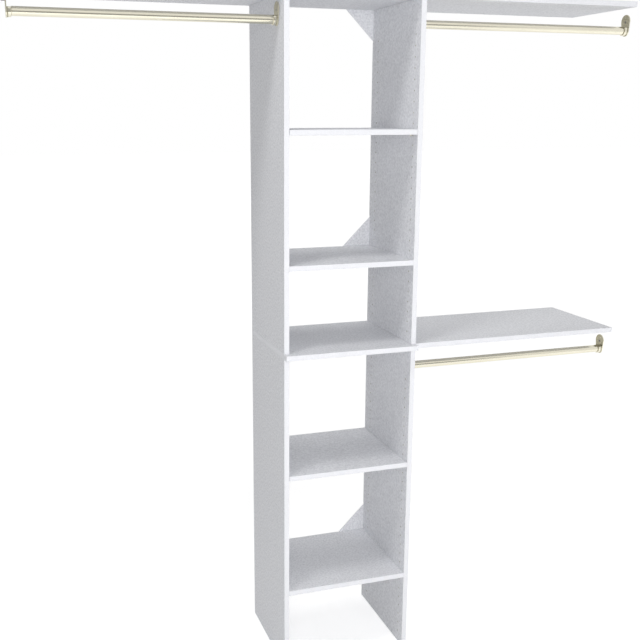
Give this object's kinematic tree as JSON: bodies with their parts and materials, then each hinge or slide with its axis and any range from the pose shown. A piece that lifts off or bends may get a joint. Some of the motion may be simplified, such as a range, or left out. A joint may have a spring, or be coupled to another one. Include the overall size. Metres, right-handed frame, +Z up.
{
  "type": "closet organizer",
  "caption": "Drilled shelf tower with a wider middle shelf, long side shelves and telescoping hanging rods in cup brackets.",
  "frame": {"origin": "on the floor, under the middle of the organizer, with the tower centred on it", "axes": "+X to the right along the closet wall, -Y to the front, +Z up"},
  "size_m": [1.924, 0.38, 2.1021],
  "materials": {
    "white_laminate": "white melamine laminate with a faint pebbled texture, on particle board",
    "satin_nickel": "satin champagne nickel plate on steel",
    "zinc_plated_steel": "zinc-plated steel screws",
    "zinc_casting": "bare zinc die casting"
  },
  "bodies": {
    "tower": {"left_rod_outer_tube": "satin_nickel", "left_rod_tower_bracket": "satin_nickel", "left_rod_tower_screw": "zinc_plated_steel", "left_top_shelf": "white_laminate", "lower_fixed_shelf": "white_laminate", "lower_left_panel": "white_laminate", "lower_right_panel": "white_laminate", "lower_shelf_cam_back_left": "zinc_casting", "lower_shelf_cam_back_right": "zinc_casting", "lower_shelf_cam_front_left": "zinc_casting", "lower_shelf_cam_front_right": "zinc_casting", "lower_shelf_left_gusset": "white_laminate", "lower_shelf_pin_back_left": "satin_nickel", "lower_shelf_pin_back_right": "satin_nickel", "lower_shelf_pin_front_left": "satin_nickel", "lower_shelf_pin_front_right": "satin_nickel", "lower_shelf_right_gusset": "white_laminate", "middle_shelf": "white_laminate", "right_middle_rod_outer_tube": "satin_nickel", "right_middle_rod_tower_bracket": "satin_nickel", "right_middle_rod_tower_screw": "zinc_plated_steel", "right_middle_shelf": "white_laminate", "right_top_rod_outer_tube": "satin_nickel", "right_top_rod_tower_bracket": "satin_nickel", "right_top_rod_tower_screw": "zinc_plated_steel", "right_top_shelf": "white_laminate", "top_left_gusset": "white_laminate", "top_right_gusset": "white_laminate", "tower_top": "white_laminate", "tower_top_screw_back_left": "zinc_plated_steel", "tower_top_screw_back_right": "zinc_plated_steel", "tower_top_screw_front_left": "zinc_plated_steel", "tower_top_screw_front_right": "zinc_plated_steel", "upper_fixed_shelf": "white_laminate", "upper_left_panel": "white_laminate", "upper_right_panel": "white_laminate", "upper_shelf_cam_back_left": "zinc_casting", "upper_shelf_cam_back_right": "zinc_casting", "upper_shelf_cam_front_left": "zinc_casting", "upper_shelf_cam_front_right": "zinc_casting", "upper_shelf_left_gusset": "white_laminate", "upper_shelf_pin_back_left": "satin_nickel", "upper_shelf_pin_back_right": "satin_nickel", "upper_shelf_pin_front_left": "satin_nickel", "upper_shelf_pin_front_right": "satin_nickel", "upper_shelf_right_gusset": "white_laminate"},
    "left_rod_extension": {"left_rod_inner_tube": "satin_nickel", "left_rod_wall_bracket": "satin_nickel", "left_rod_wall_screw": "zinc_plated_steel"},
    "right_top_rod_extension": {"right_top_rod_inner_tube": "satin_nickel", "right_top_rod_wall_bracket": "satin_nickel", "right_top_rod_wall_screw": "zinc_plated_steel"},
    "right_middle_rod_extension": {"right_middle_rod_inner_tube": "satin_nickel", "right_middle_rod_wall_bracket": "satin_nickel", "right_middle_rod_wall_screw": "zinc_plated_steel"},
    "upper_loose_shelf": {"upper_adjustable_shelf": "white_laminate"},
    "lower_loose_shelf": {"lower_adjustable_shelf": "white_laminate"}
  },
  "joints": [
    {"name": "left_rod_telescope", "type": "slide", "parent": "tower", "child": "left_rod_extension", "axis": [-1, 0, 0], "range_m": [0, 0.457]},
    {"name": "right_top_rod_telescope", "type": "slide", "parent": "tower", "child": "right_top_rod_extension", "axis": [1, 0, 0], "range_m": [0, 0.457]},
    {"name": "right_middle_rod_telescope", "type": "slide", "parent": "tower", "child": "right_middle_rod_extension", "axis": [1, 0, 0], "range_m": [0, 0.457]},
    {"name": "upper_shelf_lift_out", "type": "slide", "parent": "tower", "child": "upper_loose_shelf", "axis": [0, -1, 0], "range_m": [0, 0.37]},
    {"name": "lower_shelf_lift_out", "type": "slide", "parent": "tower", "child": "lower_loose_shelf", "axis": [0, -1, 0], "range_m": [0, 0.37]}
  ]
}
